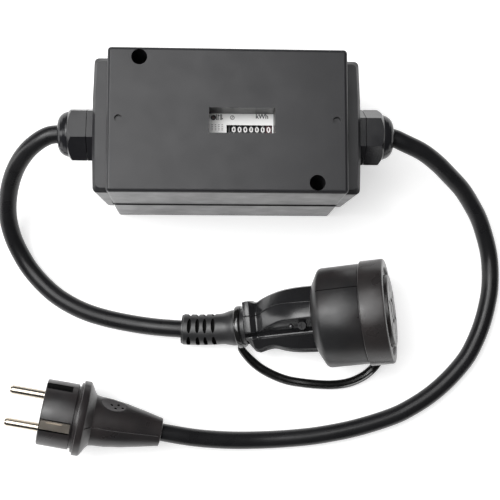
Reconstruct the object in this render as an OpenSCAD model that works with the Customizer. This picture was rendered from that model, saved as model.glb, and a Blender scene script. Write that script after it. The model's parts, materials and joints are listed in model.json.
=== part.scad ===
// Portable inline energy meter: a sealed box with a rail meter in it, a mains lead
// with a plug on one side and a lead with a coupling on the other.
// X runs along the box, Y across it and Z up; the origin is the middle of the base.

/* [Housing] */
// Length of the raised face block
block_l = 123; // [118:1:128]
// Width of the face block
block_w = 75; // [73:1:78]
// Height of the whole box
box_h = 80; // [80:1:84]
// Length of the box over both gland shoulders
shoulder_l = 139; // [138:0.5:140]
// Height of the shoulders' front
shoulder_h = 67; // [66:0.5:69]
// Height at which the shoulders end below
shoulder_z0 = 24; // [18:1:26]
// Height of the joint between the two housing halves
seam_z = 40; // [38:1:41]
// Wall thickness
wall = 3; // [2.5:0.5:3]
// Radius of the rounded edges of the face block
edge_r = 2; // [1:0.2:2.4]

/* [Window] */
// Length of the reading window
window_l = 33.6; // [31:0.2:34]
// Width of the reading window
window_w = 13.1; // [12:0.1:14]
// Middle of the window along the box
window_x = 7.2; // [6:0.1:8]
// Middle of the window across the box
window_y = -0.35; // [-0.6:0.05:0]

/* [Glands] */
// Height of the gland axis
gland_z = 49; // [47:0.5:50]
// Offset of the gland axis across the box
gland_y = -1.7; // [-2:0.1:0]
// Width across flats of the gland nuts
gland_af = 26.4; // [25:0.2:27]
// Diameter of the cords
cord_d = 9.8; // [9.4:0.1:9.9]

/* [Register] */
// Radius of a number drum
drum_r = 5.2; // [5:0.1:5.3]
// Distance from one drum to the next
drum_pitch = 3.03; // [3:0.01:3.1]
// Width of a drum
drum_w = 2.7; // [2.4:0.1:2.7]
// Radius of the drum axle
axle_r = 0.6; // [0.5:0.05:0.6]

/* [Plug and coupling] */
// Diameter of a plug pin
pin_d = 4.8; // [4.8]
// Distance between the two pins
pin_pitch = 19; // [19]
// Radius of the coupling's body
coupling_r = 27.5; // [27:0.25:28]
// Depth of the coupling's recess
recess_depth = 17.5; // [17:0.5:18]

/* [Hidden] */
$fn = 48;

half_l = block_l / 2;
half_w = block_w / 2;
shoulder_x = shoulder_l / 2;
base_inset = 0.3;
seam_gap = 0.4;
seam_chamfer = 0.9;        // along the top edge of the lower half
seam_ledge = 0.6;          // how far its long sides stand out past the upper half's
cavity_x = 65.5;           // inside of the end walls that hold the glands
slot_w = 1.1;              // dark groove between the face block and each shoulder
slot_depth = 3;            // its deep side, at the face block
pad_x = 70;                // face that a gland sits on
pad_r = 15.5;
thread_r = 10;             // M20 gland thread
gland_bore_r = 10.05;
gland_tip_x = 89.6;        // where a cord leaves its gland
nut_x = 73.8;              // start of the dome nut
nut_shoulder_x = 82.6;     // end of its hexagon
cord_r = cord_d / 2;
screw_at = [[-45.3, 32.1], [45.5, -32.2]];
head_z = 44;               // floor of the counterbores
dimple_x = 55.6;
boss_r = 5.1;

rail_z = 6;                // underside of the rail
rail_h = 7.5;
meter_y = -0.3;
meter_w = 17.8;
meter_l = 90;
meter_z0 = rail_z + rail_h + 0.2;
meter_split_z = 40;
shoulder_top_z = 50;       // top of the meter's terminal shoulders
nose_l = 45;
face_z = 66.4;             // front of the meter's face plate
face_t = 0.8;
skin = 1.2;
terminal_x = 38.5;
terminal_z = 26;
wire_z = terminal_z + 4;

drum_y = -2.5;
drum_z = face_z - face_t - 0.4 - drum_r;
drum_x0 = window_x - 3.8;  // middle of the first drum
run_gap = 0.05;            // running clearance on the axle
gear_m = 0.4;
drum_teeth = 24;
idler_teeth = 18;
pinion_teeth = 10;
gear_x = drum_x0 + 6 * drum_pitch + drum_w / 2;
gear_w = 0.9;
gear_play = 0.08;
idler_y = 0.4;
idler_z = drum_z - sqrt(pow(gear_m * (drum_teeth + idler_teeth) / 2 + gear_play, 2)
                        - pow(idler_y - drum_y, 2));
pinion_z = idler_z - gear_m * (idler_teeth + pinion_teeth) / 2 - gear_play;

// Coupling: its own axis starts at the neck, turned and raised by these angles.
neck = [13, -102.8, 14.3];
coupling_yaw = 5.9;
coupling_tilt = 16;
coupling_front = 77.4;
grip_end = 39.5;
insert_rear = 45;
cap_rear = 66.9;
cap_front = 80;
cap_r = 28.75;
lug_turn = 42;             // the strap's lug, from straight down towards the front
grip_screw_at = [33.2, -3.2, 0];
boot_neck = 8;             // straight length of the boot in front of its bend

// Plug: its own axis starts at the middle of its face.
plug_face = [-99, -149.2, 23.9];
plug_yaw = -10.5;
plug_tilt = 6;
plug_roll = 19;
plug_l = 65.4;
pin_l = 19;
pin_root_r = 2.1;          // the part of a pin that is moulded into the plug

// Routes of the two leads, from the gland to the far end.
left_route = [
    [-gland_tip_x, gland_y, gland_z], [-95, -2.5, 48.6], [-101, -5.5, 47], [-107.5, -10.5, 43.5],
    [-113.5, -17.5, 37.5], [-118, -26, 30], [-120.5, -35, 22.5], [-121, -44, 16],
    [-119, -53.5, 10.5], [-115, -62.5, 6.8], [-110, -70.5, 5.2], [-103, -78.5, 5],
    [-95, -85.5, 5], [-86, -91, 5], [-77, -95, 5], [-67, -98, 5], [-57, -100.2, 5.2],
    [-46.5, -102, 6], [-36, -103.3, 7.5], [-23.9, -104.2, 9]];
right_route = [
    [gland_tip_x, gland_y, gland_z], [97, -4.5, 48], [107, -8.5, 45], [116, -13.5, 40],
    [124.5, -19.5, 34], [133, -26, 27.5], [140, -33.5, 21], [146, -41.5, 15],
    [150.5, -51, 10], [153.5, -60.5, 6.6], [154.5, -70.5, 5.2], [154, -81, 5], [152, -91, 5],
    [149, -101, 5], [145, -110.5, 5], [140, -119.5, 5], [133.5, -127.5, 5], [126, -135, 5],
    [118, -141.5, 5], [109.5, -147, 5], [100, -152, 5], [90.5, -155.5, 5], [80.5, -158.5, 5],
    [70.5, -161, 5], [60, -163, 5], [50, -164.5, 5], [39.5, -165.5, 5], [29, -166.2, 5],
    [19, -166.5, 5.5], [8.5, -166.5, 7], [-2, -166, 9.2], [-12.5, -165, 11.8],
    [-22.5, -163.5, 14.3]];
strap_route = [
    [9.6, -114.6, 9.6], [13.5, -119.8, 5.4], [20, -125.5, 2.7], [27.5, -129.8, 2.3],
    [36, -133, 2.3], [45, -134.6, 2.3], [54, -135.5, 2.3], [62.5, -135.7, 2.3],
    [71, -134.6, 2.6], [78.5, -131.6, 3.6], [84, -127.5, 5.4], [87.5, -122.8, 8],
    [89.2, -118.6, 10.1]];
strap_w = 5;
strap_t = 2.4;

function unit(v) = v / norm(v);
function last(list) = list[len(list) - 1];
function heading(p, i, first, final) =
    i == 0 ? first : i == len(p) - 1 ? final : unit(p[i + 1] - p[i - 1]);
function side_of(t) = unit(cross([0, 0, 1], t));
function ring(c, t, w, h, n) = let (s = side_of(t), u = cross(t, s))
    [for (k = [0:n - 1]) c + s * w * cos(360 * k / n) + u * h * sin(360 * k / n)];
function along(yaw, tilt) = [cos(tilt) * cos(yaw), cos(tilt) * sin(yaw), sin(tilt)];
coupling_dir = along(coupling_yaw, coupling_tilt);
boot_rear_dir = unit([1, -0.07, 0.05]);
plug_dir = along(plug_yaw, -plug_tilt);
plug_end = plug_face + plug_dir * plug_l;

// A closed solid swept along points; each ring is an ellipse across the path.
module swept(p, first, final, w, h, n) {
    m = len(p);
    verts = [for (i = [0:m - 1]) each
        ring(p[i], heading(p, i, first, final), w[i], h[i], n)];
    sides = [for (i = [0:m - 2], k = [0:n - 1]) let (a = i * n + k, b = i * n + (k + 1) % n)
        [a, a + n, b + n, b]];
    polyhedron(verts, concat(sides, [[for (k = [0:n - 1]) k]],
               [[for (k = [n - 1:-1:0]) (m - 1) * n + k]]), convexity = 8);
}

module tube(p, first, final, r, n = 10) {
    swept(p, first, final, [for (q = p) r], [for (q = p) r], n);
}

// A cylinder that lies along X.
module bar_x(x0, x1, r, y = 0, z = 0) {
    translate([x0, y, z]) rotate([0, 90, 0]) cylinder(r = r, h = x1 - x0);
}

module hex_x(x0, x1, af, turn, y = 0, z = 0) {
    translate([x0, y, z]) rotate([0, 90, 0]) rotate([0, 0, turn])
        cylinder(d = af / cos(30), h = x1 - x0, $fn = 6);
}

module box(lo, hi) {
    translate(lo) cube(hi - lo);
}

module in_coupling() {
    translate(neck) rotate([0, -coupling_tilt, coupling_yaw]) children();
}

module in_plug() {
    translate(plug_face) rotate([plug_roll, plug_tilt, plug_yaw]) children();
}

// A profile of [x, radius] points turned about the X axis.
module turned(profile) {
    rotate([0, 90, 0]) rotate_extrude() polygon([for (q = profile) [q[1], q[0]]]);
}

// ---------------------------------------------------------------- housing
module shoulder_outline(x, y, corner = 2.5) {
    hull() {
        translate([half_l - 4, -y]) square([x - corner - half_l + 4, 2 * y]);
        for (s = [-1, 1]) translate([x - corner, s * (y - corner)]) circle(corner, $fn = 24);
        translate([half_l, -14]) square([x + 0.6 - half_l, 28]);
    }
}

module shoulder() {
    hull() {
        translate([0, 0, shoulder_z0]) linear_extrude(0.4) shoulder_outline(shoulder_x - 3.2, 36.2);
        translate([0, 0, shoulder_h - 3]) linear_extrude(0.4) shoulder_outline(shoulder_x, 35.6);
        translate([0, 0, shoulder_h - 0.4]) linear_extrude(0.4)
            shoulder_outline(shoulder_x - 1.6, 33.4);
    }
}

module face_block() {
    hull() for (x = [-1, 1], y = [-1, 1])
        translate([x * (half_l - edge_r), y * (half_w - edge_r), 0]) {
            translate([0, 0, box_h - edge_r]) sphere(edge_r, $fn = 32);
            translate([0, 0, seam_z]) cylinder(r = edge_r, h = 1, $fn = 32);
        }
}

module upper_housing() {
    tube_t = 1.5;
    color([0.12, 0.12, 0.13]) difference() {
        union() {
            difference() {
                union() {
                    face_block();
                    for (turn = [0, 180]) rotate([0, 0, turn]) shoulder();
                    for (s = [-1, 1]) bar_x(s > 0 ? pad_x - 4 : -pad_x, s > 0 ? pad_x : 4 - pad_x,
                                            pad_r, gland_y, gland_z);
                }
                box([-half_l + wall, -half_w + wall, seam_z - 1],
                    [half_l - wall, half_w - wall, box_h - wall]);
                box([-half_l - 0.3, -half_w - 5, 0], [half_l + 0.3, half_w + 5, seam_z]);
                for (turn = [0, 180]) rotate([0, 0, turn]) {
                    box([half_l - wall - 1, -20, seam_z + 1.5], [cavity_x, 20, shoulder_h - wall]);
                    box([half_l, -17, seam_z - 6], [cavity_x, 17, seam_z + 3]);
                    box([half_l, -half_w - 1, shoulder_h - slot_depth],
                        [half_l + slot_w, half_w + 1, shoulder_h + 1]);
                }
            }
            for (at = screw_at) translate([at.x, at.y, seam_z]) cylinder(r = boss_r, h = box_h - seam_z - 1);
            translate([window_x - window_l / 2 - tube_t, window_y - window_w / 2 - tube_t, face_z + 0.3])
                cube([window_l + 2 * tube_t, window_w + 2 * tube_t, box_h - face_z - 1]);
        }
        for (at = screw_at) translate([at.x, at.y, seam_z - 1]) {
            cylinder(r = 2, h = 10);
            translate([0, 0, head_z - seam_z + 1]) cylinder(r = 4.05, h = box_h);
        }
        translate([window_x - window_l / 2, window_y - window_w / 2, face_z - 1])
            cube([window_l, window_w, 20]);
        for (x = [-1, 1]) translate([x * dimple_x, 0, box_h - 1.8]) cylinder(r = 2, h = 3);
        for (s = [-1, 1]) bar_x(s > 0 ? 61 : -pad_x - 1, s > 0 ? pad_x + 1 : -61,
                                gland_bore_r, gland_y, gland_z);
    }
}

module lower_housing() {
    l = half_l - base_inset;
    w = half_w + seam_ledge;
    lip_t = 1.2;
    top = seam_z - seam_gap;
    color([0.13, 0.13, 0.14]) difference() {
        union() {
            difference() {
                union() {
                    hull() for (x = [-1, 1], y = [-1, 1]) translate([x * (l - 2), y * (w - 2), 0]) {
                        cylinder(r = 1.2, h = 1, $fn = 32);
                        translate([0, 0, 0.8]) cylinder(r = 2, h = top - 0.8 - seam_chamfer, $fn = 32);
                        translate([0, 0, top - 0.1])
                            cylinder(r = 2 - seam_chamfer, h = 0.1, $fn = 32);
                    }
                    box([-half_l + wall + 0.3, -half_w + wall + 0.3, top - 3],
                        [half_l - wall - 0.3, half_w - wall - 0.3, top + 3]);
                }
                box([-half_l + wall + 0.3 + lip_t, -half_w + wall + 0.3 + lip_t, wall],
                    [half_l - wall - 0.3 - lip_t, half_w - wall - 0.3 - lip_t, box_h]);
            }
            for (at = screw_at) translate([at.x, at.y, 1]) cylinder(r = 5, h = top - 1);
            for (y = [-22, 22]) translate([window_x, y, 1]) cylinder(r = 6, h = rail_z - 1);
        }
        for (at = screw_at) {
            translate([at.x, at.y, 14]) cylinder(r = 1.5, h = 40);
            translate([at.x, at.y, top]) cylinder(r = 5.4, h = 9);
        }
        for (y = [-22, 22]) translate([window_x, y, 1.2]) cylinder(r = 1.3, h = 10);
        for (x = [-1, 1]) translate([x * (half_l - 4), 0, top + 2])
            cube([10, 40, 4], center = true);
    }
}

module housing_gasket() {
    inner_l = half_l - wall + 0.2;
    inner_w = half_w - wall + 0.2;
    color([0.05, 0.05, 0.05]) difference() {
        box([-half_l + 0.9, -half_w + 0.9, seam_z - seam_gap], [half_l - 0.9, half_w - 0.9, seam_z]);
        box([-inner_l, -inner_w, seam_z - 2], [inner_l, inner_w, seam_z + 2]);
        for (at = screw_at) translate([at.x, at.y, seam_z - 2]) cylinder(r = 5.4, h = 4);
    }
}

module cross_recess(size, depth) {
    for (a = [0, 90]) rotate([0, 0, a]) translate([-size / 2, -0.4, -depth]) cube([size, 0.8, depth + 1]);
}

module cover_screws() {
    color([0.55, 0.56, 0.58]) for (at = screw_at) translate([at.x, at.y, 0]) difference() {
        union() {
            translate([0, 0, head_z]) cylinder(r = 3.5, h = 2.4);
            translate([0, 0, 18]) cylinder(r = 1.7, h = head_z - 17.5);
        }
        translate([0, 0, head_z + 2.4]) cross_recess(4, 1.6);
    }
}

// ---------------------------------------------------------------- rail and meter
module din_rail() {
    color([0.7, 0.72, 0.74]) difference() {
        translate([window_x, 0, 0]) {
            box([-12.5, -32, rail_z], [12.5, 32, rail_z + 1]);
            for (s = [-1, 1]) {
                box([s > 0 ? 11.5 : -12.5, -32, rail_z], [s > 0 ? 12.5 : -11.5, 32, rail_z + rail_h]);
                box([s > 0 ? 11.5 : -17.5, -32, rail_z + rail_h - 1],
                    [s > 0 ? 17.5 : -11.5, 32, rail_z + rail_h]);
            }
        }
        for (y = [-22, 22]) translate([window_x, y, 0]) cylinder(r = 1.7, h = 20);
    }
}

module rail_screws() {
    color([0.6, 0.6, 0.62]) for (y = [-22, 22]) translate([window_x, y, 0]) difference() {
        union() {
            translate([0, 0, rail_z + 1]) cylinder(r = 3, h = 2);
            translate([0, 0, 1.5]) cylinder(r = 1.5, h = rail_z);
        }
        translate([0, 0, rail_z + 3]) cross_recess(3.4, 1.2);
    }
}

module meter_slab(z0, z1, l = meter_l, inset = 0) {
    translate([window_x - l / 2 + inset, meter_y - meter_w / 2 + inset, z0])
        cube([l - 2 * inset, meter_w - 2 * inset, z1 - z0]);
}

module meter_base() {
    color([0.78, 0.79, 0.78]) difference() {
        union() {
            meter_slab(meter_z0, meter_split_z);
            translate([window_x, meter_y, 0]) {
                box([17.8, -meter_w / 2, rail_z + 4.4], [20.5, meter_w / 2, meter_z0 + 1]);
                box([14.5, -meter_w / 2, rail_z + 4.4], [18, meter_w / 2, rail_z + rail_h - 1.2]);
            }
        }
        meter_slab(meter_z0 + skin, meter_split_z + 1, meter_l, skin);
        for (x = [-1, 1], y = [-4.2, 4.2])
            translate([window_x + x * meter_l / 2, y + meter_y, wire_z])
                rotate([0, 90, 0])
                    cylinder(r = 2.3, h = 8, center = true);
    }
}

module meter_cover() {
    color([0.82, 0.83, 0.82]) difference() {
        union() {
            meter_slab(meter_split_z, shoulder_top_z);
            meter_slab(shoulder_top_z - 1, face_z - face_t, nose_l);
        }
        meter_slab(meter_split_z - 1, shoulder_top_z - skin, meter_l, skin);
        meter_slab(shoulder_top_z - skin - 1, face_z, nose_l, skin);
        for (x = [-1, 1], y = [-4.2, 4.2])
            translate([window_x + x * terminal_x, y + meter_y, meter_split_z]) cylinder(r = 2.8, h = 20);
    }
}

module meter_face() {
    color([0.93, 0.93, 0.91]) difference() {
        meter_slab(face_z - face_t, face_z, nose_l, 0.2);
        translate([window_x - 7.6, -5.3, face_z - 2]) cube([23.8, 5.6, 4]);
        translate([window_x - 14.5, 4.1, face_z - 2]) cylinder(r = 1.3, h = 4);
    }
}

module meter_led() {
    color([0.5, 0.06, 0.05]) translate([window_x - 14.5, 4.1, 0]) {
        translate([0, 0, face_z - 4]) cylinder(r = 1.25, h = 3.7);
        translate([0, 0, face_z - 4.8]) cylinder(r = 1.6, h = 0.8);
    }
}

module meter_terminals() {
    color([0.75, 0.6, 0.3]) for (x = [-1, 1], y = [-4.2, 4.2])
        translate([window_x + x * terminal_x, y + meter_y, terminal_z]) difference() {
            translate([-4.5, -3.4, 0]) cube([9, 6.8, 9]);
            rotate([0, 90, 0]) translate([-4, 0, -6]) cylinder(r = 2, h = 12);
            cylinder(r = 1.5, h = 20);
        }
}

module terminal_screws() {
    color([0.62, 0.62, 0.64]) for (x = [-1, 1], y = [-4.2, 4.2])
        translate([window_x + x * terminal_x, y + meter_y, terminal_z]) difference() {
            union() {
                translate([0, 0, 6.2]) cylinder(r = 1.5, h = 3);
                translate([0, 0, 9.1]) cylinder(r = 2.5, h = 2.6);
            }
            translate([-3, -0.35, 10.6]) cube([6, 0.7, 3]);
        }
}

module meter_board() {
    color([0.1, 0.35, 0.2]) {
        box([window_x - 31, 5, 17], [window_x + 31, 6.2, 47]);
        for (x = [-22, -8, 6]) box([window_x + x, 2.2, 20], [window_x + x + 9, 5, 30]);
        translate([window_x + 24, 5, 26]) rotate([90, 0, 0]) cylinder(r = 4, h = 6);
    }
}

module current_shunt() {
    color([0.72, 0.42, 0.25])
        box([window_x - 34, -5.6, terminal_z + 2], [window_x + 34, -4.4, terminal_z + 7]);
}

module step_motor() {
    color([0.55, 0.56, 0.58]) {
        bar_x(gear_x - 11, gear_x - 2, 5.6, 5 - 5.6, pinion_z);
        bar_x(gear_x - 2.2, gear_x - 0.8, 2.4, idler_y, pinion_z);
        bar_x(gear_x - 2.2, gear_x + 1.2, 0.5, idler_y, pinion_z);
        bar_x(gear_x - 2.2, gear_x + 1.2, 0.6, idler_y, idler_z);
        box([gear_x - 2.6, idler_y - 2, pinion_z - 1], [gear_x - 1.2, idler_y + 1.6, idler_z + 1.6]);
    }
}

// A spur gear about X; a tooth stands at the angle phase, from +Y towards +Z.
module gear_x_axis(teeth, phase, x, y, z, bore, w) {
    pitch_r = gear_m * teeth / 2;
    root_r = pitch_r - 1.2 * gear_m;
    tip_r = pitch_r + 0.75 * gear_m;
    half_root = 360 / teeth * 0.23;
    half_tip = 360 / teeth * 0.11;
    points = [for (i = [0:teeth - 1], e = [[-half_root, root_r], [-half_tip, tip_r],
                                           [half_tip, tip_r], [half_root, root_r]])
        let (a = phase + 360 * i / teeth + e[0]) [e[1] * cos(a), e[1] * sin(a)]];
    translate([x, y, z]) rotate([90, 0, 90]) difference() {
        linear_extrude(w) polygon(points);
        translate([0, 0, -1]) cylinder(r = bore, h = w + 2);
    }
}

to_idler = atan2(idler_z - drum_z, idler_y - drum_y);
idler_phase = to_idler + 180 + 180 / idler_teeth;
idler_step = 360 / idler_teeth;
idler_lag = (-90 - idler_phase) - idler_step * round((-90 - idler_phase) / idler_step);
pinion_phase = 90 + 180 / pinion_teeth + idler_lag * idler_teeth / pinion_teeth;

module idler_gear() {
    color([0.9, 0.88, 0.8])
        gear_x_axis(idler_teeth, idler_phase, gear_x, idler_y, idler_z, 0.6 + run_gap, gear_w);
}

module motor_pinion() {
    color([0.85, 0.7, 0.35])
        gear_x_axis(pinion_teeth, pinion_phase, gear_x, idler_y, pinion_z, 0.5 + run_gap, gear_w);
}

module register_frame() {
    x0 = drum_x0 - drum_w / 2 - 1.4;
    x1 = gear_x + gear_w + 0.5;
    frame_y0 = meter_y - meter_w / 2 + skin;
    color([0.2, 0.2, 0.21]) difference() {
        union() {
            for (x = [x0, x1]) box([x, frame_y0, drum_z - 7.5], [x + 0.9, drum_y + 3.2, drum_z + 3.4]);
            box([x0, frame_y0, drum_z - 7.5], [gear_x - 2.7, drum_y + 3.2, drum_z - 6.4]);
            box([gear_x - 3, frame_y0, drum_z - 7.5], [x1 + 0.9, drum_y - 2.4, drum_z - 6.4]);
        }
        bar_x(x0 - 1, x1 + 2, axle_r, drum_y, drum_z);
    }
}

module register_axle() {
    color([0.75, 0.76, 0.78])
        bar_x(drum_x0 - drum_w / 2 - 1.6, gear_x + gear_w + 1.6, axle_r, drum_y, drum_z);
}

module drum(i) {
    x = drum_x0 + (i - 1) * drum_pitch;
    color(i == 7 ? [0.6, 0.1, 0.1] : [0.08, 0.08, 0.08]) {
        difference() {
            union() {
                bar_x(x - drum_w / 2, x + drum_w / 2, drum_r, drum_y, drum_z);
                bar_x(x - drum_w / 2 - 0.12, x + drum_w / 2 + 0.12, 1.6, drum_y, drum_z);
            }
            bar_x(x - 5, x + 5, axle_r + run_gap, drum_y, drum_z);
        }
        if (i == 7) gear_x_axis(drum_teeth, to_idler, gear_x, drum_y, drum_z, axle_r + run_gap, gear_w);
    }
}

module din_latch() {
    z0 = rail_z + 3.4;
    color([0.15, 0.15, 0.16]) translate([window_x, meter_y, 0]) {
        box([-24, -3.5, z0], [-17.9, 3.5, meter_z0 - 0.35]);
        box([-18.2, -3.5, z0], [-14.5, 3.5, rail_z + rail_h - 1.35]);
        box([-27, -3.5, z0], [-23.5, 3.5, z0 + 1.6]);
    }
}

// ---------------------------------------------------------------- wiring inside the box
module wire(points, r = 1.6) {
    tube(points, unit(points[1] - points[0]), unit(last(points) - points[len(points) - 2]), r, 8);
}

// One core of both leads, from its place in the cord to its terminal at y_end.
module terminal_leads(core, y_end) {
    y = gland_y + core.x;
    z = gland_z + core.y;
    step = (y_end - y) / 3;
    for (s = [-1, 1]) {
        far = s > 0 ? 54.3 : 51;
        wire([
            [s * 61.4, y, z], [s * 60.2, y, z], [s * 57.6, y + step, z - 1],
            [s * 55.3, y + 2 * step, z - 4], [s * 54.6, y_end, 40.5], [s * (far + 0.1), y_end, 35],
            [s * far - 0.1 * s, y_end, 32], [s * (far - 2.2), y_end, wire_z],
            [window_x + s * 43.3, y_end, wire_z], [window_x + s * 41, y_end, wire_z]], 1.5);
    }
}

module live_wires() {
    color([0.4, 0.2, 0.1]) terminal_leads([0.9, 2.4], meter_y - 4.2);
}

module neutral_wires() {
    color([0.1, 0.25, 0.7]) terminal_leads([1.4, -2.4], meter_y + 4.2);
}

module earth_wire() {
    y = gland_y - 2.7;
    z = gland_z - 0.4;
    color([0.35, 0.6, 0.15]) wire([
        [-61.4, y, z], [-60.2, y, z], [-57.5, -7, 47], [-55, -12, 41.5], [-54, -14.5, 36],
        [-48, -18, 28], [-34, -21, 20], [-15, -22, 18], [5, -22, 18], [25, -22, 18],
        [40, -21, 20], [49, -18, 28], [54, -14.5, 36], [55, -12, 41.5], [57.5, -7, 47],
        [60.2, y, z], [61.4, y, z]], 1.4);
}

module cord_ends() {
    color([0.07, 0.07, 0.07]) for (s = [-1, 1])
        bar_x(s > 0 ? 61.4 : -gland_tip_x, s > 0 ? gland_tip_x : -61.4, cord_r, gland_y, gland_z);
}

// ---------------------------------------------------------------- glands
// Every gland piece is drawn for the right side and mirrored for the left.
module on_side(s) {
    mirror([s < 0 ? 1 : 0, 0, 0]) translate([0, gland_y, gland_z]) children();
}

module gland_body(s, turn) {
    color([0.1, 0.1, 0.1]) on_side(s) difference() {
        union() {
            bar_x(62.4, pad_x + 0.1, thread_r);
            hex_x(pad_x, nut_x - 0.3, gland_af, turn);
            bar_x(nut_x - 1, 79.8, 11);
        }
        bar_x(60, pad_x + 2, cord_r + 0.4);
        bar_x(pad_x + 2, 81, 8.7);
    }
}

module dome_nut(s, turn) {
    nose = [for (a = [0:15:75]) [nut_shoulder_x + 0.4 + 6.6 * sin(a), 6.6 + 5.6 * cos(a)]];
    color([0.11, 0.11, 0.11]) on_side(s) difference() {
        union() {
            intersection() {
                hex_x(nut_x, nut_shoulder_x + 1.2, gland_af, turn);
                turned([[nut_x, 0], [nut_x, 14.9], [nut_x + 0.6, 15.6], [nut_shoulder_x - 1.2, 15.6],
                        [nut_shoulder_x + 1.2, 12.4], [nut_shoulder_x + 1.2, 0]]);
            }
            turned(concat([[nut_shoulder_x - 2, 0], [nut_shoulder_x - 2, 12.2]], nose,
                          [[gland_tip_x, 6.6], [gland_tip_x, 0]]));
        }
        bar_x(nut_x - 1, 80.2, 11.03);
        turned([[80, 0], [80, 11.03], [84, 8.8], [86.4, 8.8], [88.2, cord_r], [92, cord_r], [92, 0]]);
    }
}

module gland_lock_nuts() {
    color([0.12, 0.12, 0.12]) for (s = [-1, 1]) on_side(s) difference() {
        hex_x(cavity_x - 2.9, cavity_x, gland_af, 30);
        bar_x(60, 70, thread_r);
    }
}

module gland_seals() {
    color([0.16, 0.16, 0.16]) for (s = [-1, 1]) on_side(s) difference() {
        bar_x(pad_x + 2.2, 83.8, 8.6);
        bar_x(60, 95, cord_r);
    }
}

// ---------------------------------------------------------------- coupling
module coupling_cord() {
    color([0.08, 0.08, 0.08])
        tube(left_route, [-1, 0, 0], boot_rear_dir, cord_r - 0.02);
}

module coupling_boot() {
    rear = last(left_route);
    points = [rear, rear + [7.5, -0.4, 0.4], rear + [15, -0.3, 1.2], rear + [22.4, 0, 2.4],
              neck - coupling_dir * boot_neck, neck - coupling_dir * 6, neck];
    r = [8.7, 8.8, 8.8, 8.9, 9.6, 10.1, 10.1];
    color([0.1, 0.1, 0.1]) swept(points, boot_rear_dir, coupling_dir, r, r, 24);
}

module strap_ring() {
    color([0.09, 0.09, 0.09]) in_coupling() difference() {
        bar_x(-5.6, -2.3, 12);
        bar_x(-9, 0, 10.15);
    }
}

module coupling_grip() {
    s = [8, 12, 18, 25, 32, grip_end];
    w = [13.2, 14.2, 16.4, 17.8, 18.4, 18.6];
    h = [11.6, 11.8, 13, 14.6, 16, 17];
    color([0.12, 0.12, 0.12]) difference() {
        union() {
            swept([for (d = s) neck + coupling_dir * d], coupling_dir, coupling_dir, w, h, 32);
            in_coupling() {
                box([1, -11, -10.4], [8.5, 14.7, 10.4]);
                box([1, -14.6, -8], [8.5, 14.7, 8]);
            }
        }
        in_coupling() translate([grip_screw_at.x, grip_screw_at.y, 8]) cylinder(r = 2.3, h = 20);
    }
}

module grip_screw() {
    color([0.5, 0.5, 0.52]) in_coupling() translate(grip_screw_at) difference() {
        translate([0, 0, 8]) cylinder(r = 2.2, h = 5.2);
        translate([0, 0, 13.2]) cross_recess(3, 1);
    }
}

module coupling_body() {
    color([0.12, 0.12, 0.12]) in_coupling() difference() {
        turned([[grip_end, 0], [grip_end, 20], [44.6, coupling_r], [cap_rear - 0.4, coupling_r],
                [cap_rear - 0.4, 27], [coupling_front, 27], [coupling_front, 0]]);
        bar_x(insert_rear, coupling_front + 1, 24.5);
        bar_x(grip_end - 1, insert_rear + 1, 15);
    }
}

module coupling_insert() {
    color([0.16, 0.16, 0.17]) in_coupling() difference() {
        union() {
            bar_x(insert_rear, coupling_front - 0.4, 24.45);
            bar_x(grip_end + 0.2, insert_rear + 1, 14.95);
        }
        bar_x(coupling_front - 0.4 - recess_depth, coupling_front + 2, 19.7);
        for (y = [-1, 1]) bar_x(grip_end - 1, coupling_front, 3.4, y * pin_pitch / 2);
        for (z = [-1, 1]) box([insert_rear - 1, -3.2, z > 0 ? 17.4 : -21],
                              [coupling_front - 3, 3.2, z > 0 ? 21 : -17.4]);
    }
}

module contact_tubes() {
    bottom = coupling_front - 0.4 - recess_depth;
    color([0.8, 0.66, 0.35]) in_coupling() for (y = [-1, 1]) difference() {
        bar_x(grip_end + 0.2, bottom - 0.5, 3.38, y * pin_pitch / 2);
        bar_x(grip_end + 1, bottom, pin_d / 2 + 0.06, y * pin_pitch / 2);
    }
}

module coupling_earth_clips() {
    color([0.8, 0.66, 0.35]) in_coupling() for (a = [0, 180]) rotate([a, 0, 0]) {
        box([insert_rear + 0.2, -3, 19.9], [coupling_front - 3.2, 3, 20.8]);
        box([coupling_front - 12, -2.6, 18.6], [coupling_front - 6, 2.6, 20]);
    }
}

module coupling_cap() {
    color([0.13, 0.12, 0.12]) in_coupling() difference() {
        union() {
            turned([[cap_rear, 0], [cap_rear, cap_r - 0.5], [cap_rear + 0.5, cap_r],
                    [cap_front - 1, cap_r], [cap_front, cap_r - 1], [cap_front, 0]]);
            bar_x(cap_front - 0.5, cap_front + 1.6, 19.5);
            rotate([-lug_turn, 0, 0]) box([68.5, -2.9, -32], [75.5, 2.9, -27.8]);
        }
        bar_x(cap_rear - 1, coupling_front + 0.4, 27.3);
    }
}

module cap_strap() {
    n = len(strap_route);
    w = [for (i = [0:n - 1]) strap_w / 2 - (i < 3 ? 0.6 : 0)];
    h = [for (i = [0:n - 1]) strap_t / 2];
    color([0.09, 0.09, 0.09])
        swept(strap_route, unit([0.45, -0.8, -0.4]), unit([0.25, 0.85, 0.45]), w, h, 8);
}

// ---------------------------------------------------------------- plug
module plug_cord() {
    color([0.08, 0.08, 0.08])
        tube(concat(right_route, [plug_end]), [1, 0, 0], -plug_dir, cord_r - 0.02);
}

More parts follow.
